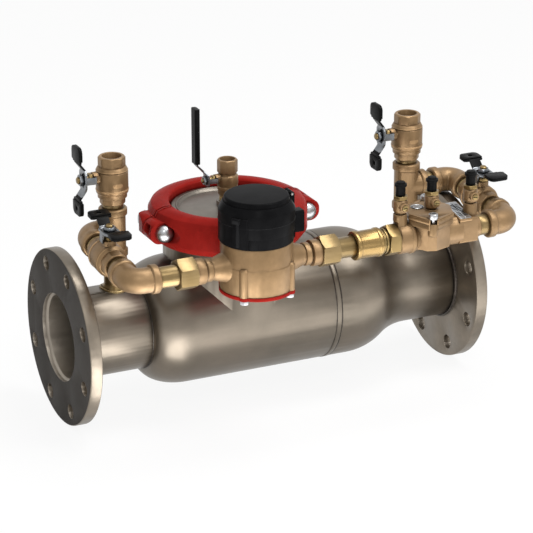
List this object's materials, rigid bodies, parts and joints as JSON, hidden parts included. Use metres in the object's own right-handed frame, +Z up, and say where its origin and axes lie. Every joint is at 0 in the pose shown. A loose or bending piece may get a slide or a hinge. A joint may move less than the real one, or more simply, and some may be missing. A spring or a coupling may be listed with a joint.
{
  "type": "backflow detector assembly",
  "caption": "Flanged stainless double check valve with a clamped top cap and a metered bypass line that has its own ball valves, small check valve and test cocks.",
  "frame": {"origin": "centre of the inlet flange's face", "axes": "X runs along the pipe from the inlet flange to the outlet flange, Y to the back, Z up; the bypass line and its meter hang on the -Y side"},
  "size_m": [0.586, 0.3105, 0.3913],
  "materials": {
    "stainless": "satin brushed stainless steel with a warm tone",
    "inner_steel": "machined stainless steel",
    "red_paint": "semi-gloss red paint",
    "chrome_bolts": "bright plated",
    "zinc_plate": "bright zinc-plated steel with black vinyl on the wings",
    "black_vinyl": "dipped vinyl",
    "bronze": "as-cast bronze with machined faces",
    "brass": "bright turned brass",
    "rubber_black": "black rubber",
    "black_plastic": "satin black plastic",
    "grey_plastic": "moulded plastic",
    "dial_white": "printed dial without text",
    "pointer_red": "painted pointer",
    "clear_glass": "clear glass"
  },
  "bodies": {
    "pipework": {"inlet_flange": "stainless", "outlet_flange": "stainless", "inlet_pipe": "stainless", "valve_shell": "stainless", "shell_band": "stainless", "outlet_reducer": "stainless", "neck_cap": "stainless", "inlet_check_cage": "inner_steel", "outlet_check_cage": "inner_steel", "inlet_check_spring": "inner_steel", "outlet_check_spring": "inner_steel", "first_poppet_spring": "inner_steel", "second_poppet_spring": "inner_steel", "lid_pin": "inner_steel", "cover_screws": "inner_steel", "clamp_half_front": "red_paint", "clamp_half_rear": "red_paint", "meter_bottom_plate": "red_paint", "clamp_bolts": "chrome_bolts", "plate_bolts": "chrome_bolts", "ball_valve_bodies": "bronze", "vent_valve_body": "bronze", "pipe_tees": "bronze", "pipe_elbows": "bronze", "meter_case": "bronze", "sleeve_coupling": "bronze", "bypass_check_body": "bronze", "bypass_check_cover": "bronze", "pipe_nipples": "brass", "meter_tailpieces": "brass", "union_nuts": "brass", "hex_bushing": "brass", "gland_nuts": "brass", "test_cock_bodies": "brass", "gaskets": "rubber_black", "test_cock_caps": "rubber_black", "register_housing": "black_plastic", "measuring_chamber": "grey_plastic", "register_dial": "dial_white", "register_glass": "clear_glass"},
    "inlet_test_valve": {"inlet_test_stem": "brass", "inlet_test_handle": "zinc_plate"},
    "outlet_test_valve": {"outlet_test_stem": "brass", "outlet_test_handle": "zinc_plate"},
    "inlet_bypass_valve": {"inlet_bypass_stem": "brass", "inlet_bypass_handle": "zinc_plate"},
    "outlet_bypass_valve": {"outlet_bypass_stem": "brass", "outlet_bypass_handle": "zinc_plate"},
    "vent_valve": {"vent_stem": "brass", "vent_lever": "zinc_plate", "vent_grip": "black_vinyl"},
    "test_cock_1": {"test_cock_stem_1": "brass"},
    "test_cock_2": {"test_cock_stem_2": "brass"},
    "test_cock_3": {"test_cock_stem_3": "brass"},
    "inlet_disc": {"inlet_check_disc": "inner_steel"},
    "outlet_disc": {"outlet_check_disc": "inner_steel"},
    "poppet_1": {"first_poppet": "grey_plastic"},
    "poppet_2": {"second_poppet": "grey_plastic"},
    "lid": {"register_lid": "black_plastic"},
    "pointer": {"register_pointer": "pointer_red"}
  },
  "joints": [
    {"name": "inlet_test_valve_turn", "type": "hinge", "parent": "pipework", "child": "inlet_test_valve", "pos_m": [0.078, 0, 0.205], "axis": [1, 0, 0], "range_deg": [0, 90]},
    {"name": "outlet_test_valve_turn", "type": "hinge", "parent": "pipework", "child": "outlet_test_valve", "pos_m": [0.4947, 0, 0.205], "axis": [1, 0, 0], "range_deg": [0, 90]},
    {"name": "inlet_bypass_valve_turn", "type": "hinge", "parent": "pipework", "child": "inlet_bypass_valve", "pos_m": [0.042, -0.07677, 0.12556], "axis": [0, 0.0771, -0.997], "range_deg": [0, 90]},
    {"name": "outlet_bypass_valve_turn", "type": "hinge", "parent": "pipework", "child": "outlet_bypass_valve", "pos_m": [0.5655, -0.07677, 0.12556], "axis": [0, 0.0771, -0.997], "range_deg": [0, 90]},
    {"name": "vent_valve_turn", "type": "hinge", "parent": "pipework", "child": "vent_valve", "pos_m": [0.236, 0, 0.18], "axis": [1, 0, 0], "range_deg": [0, 90]},
    {"name": "test_cock_1_turn", "type": "hinge", "parent": "pipework", "child": "test_cock_1", "pos_m": [0.4075, -0.1487, 0.164], "axis": [0, 1, 0], "range_deg": [0, 90]},
    {"name": "test_cock_2_turn", "type": "hinge", "parent": "pipework", "child": "test_cock_2", "pos_m": [0.452, -0.1487, 0.164], "axis": [0, 1, 0], "range_deg": [0, 90]},
    {"name": "test_cock_3_turn", "type": "hinge", "parent": "pipework", "child": "test_cock_3", "pos_m": [0.508, -0.1487, 0.164], "axis": [0, 1, 0], "range_deg": [0, 90]},
    {"name": "register_lid_swing", "type": "hinge", "parent": "pipework", "child": "lid", "pos_m": [0.253, -0.1487, 0.2047], "axis": [0, 1, 0], "range_deg": [0, 110]},
    {"name": "pointer_spin", "type": "hinge", "parent": "pipework", "child": "pointer", "pos_m": [0.2085, -0.1487, 0.176], "axis": [0, 0, -1], "continuous": true},
    {"name": "inlet_check_slide", "type": "slide", "parent": "pipework", "child": "inlet_disc", "axis": [1, 0, 0], "range_m": [0, 0.014], "stiffness_N_per_m": 1500, "springref_m": -0.03, "deforming": ["inlet_check_spring"]},
    {"name": "outlet_check_slide", "type": "slide", "parent": "pipework", "child": "outlet_disc", "axis": [1, 0, 0], "range_m": [0, 0.014], "stiffness_N_per_m": 1500, "springref_m": -0.03, "deforming": ["outlet_check_spring"]},
    {"name": "first_poppet_slide", "type": "slide", "parent": "pipework", "child": "poppet_1", "axis": [1, 0, 0], "range_m": [0, 0.005], "stiffness_N_per_m": 150, "springref_m": -0.012, "deforming": ["first_poppet_spring"]},
    {"name": "second_poppet_slide", "type": "slide", "parent": "pipework", "child": "poppet_2", "axis": [1, 0, 0], "range_m": [0, 0.005], "stiffness_N_per_m": 150, "springref_m": -0.012, "deforming": ["second_poppet_spring"]}
  ]
}
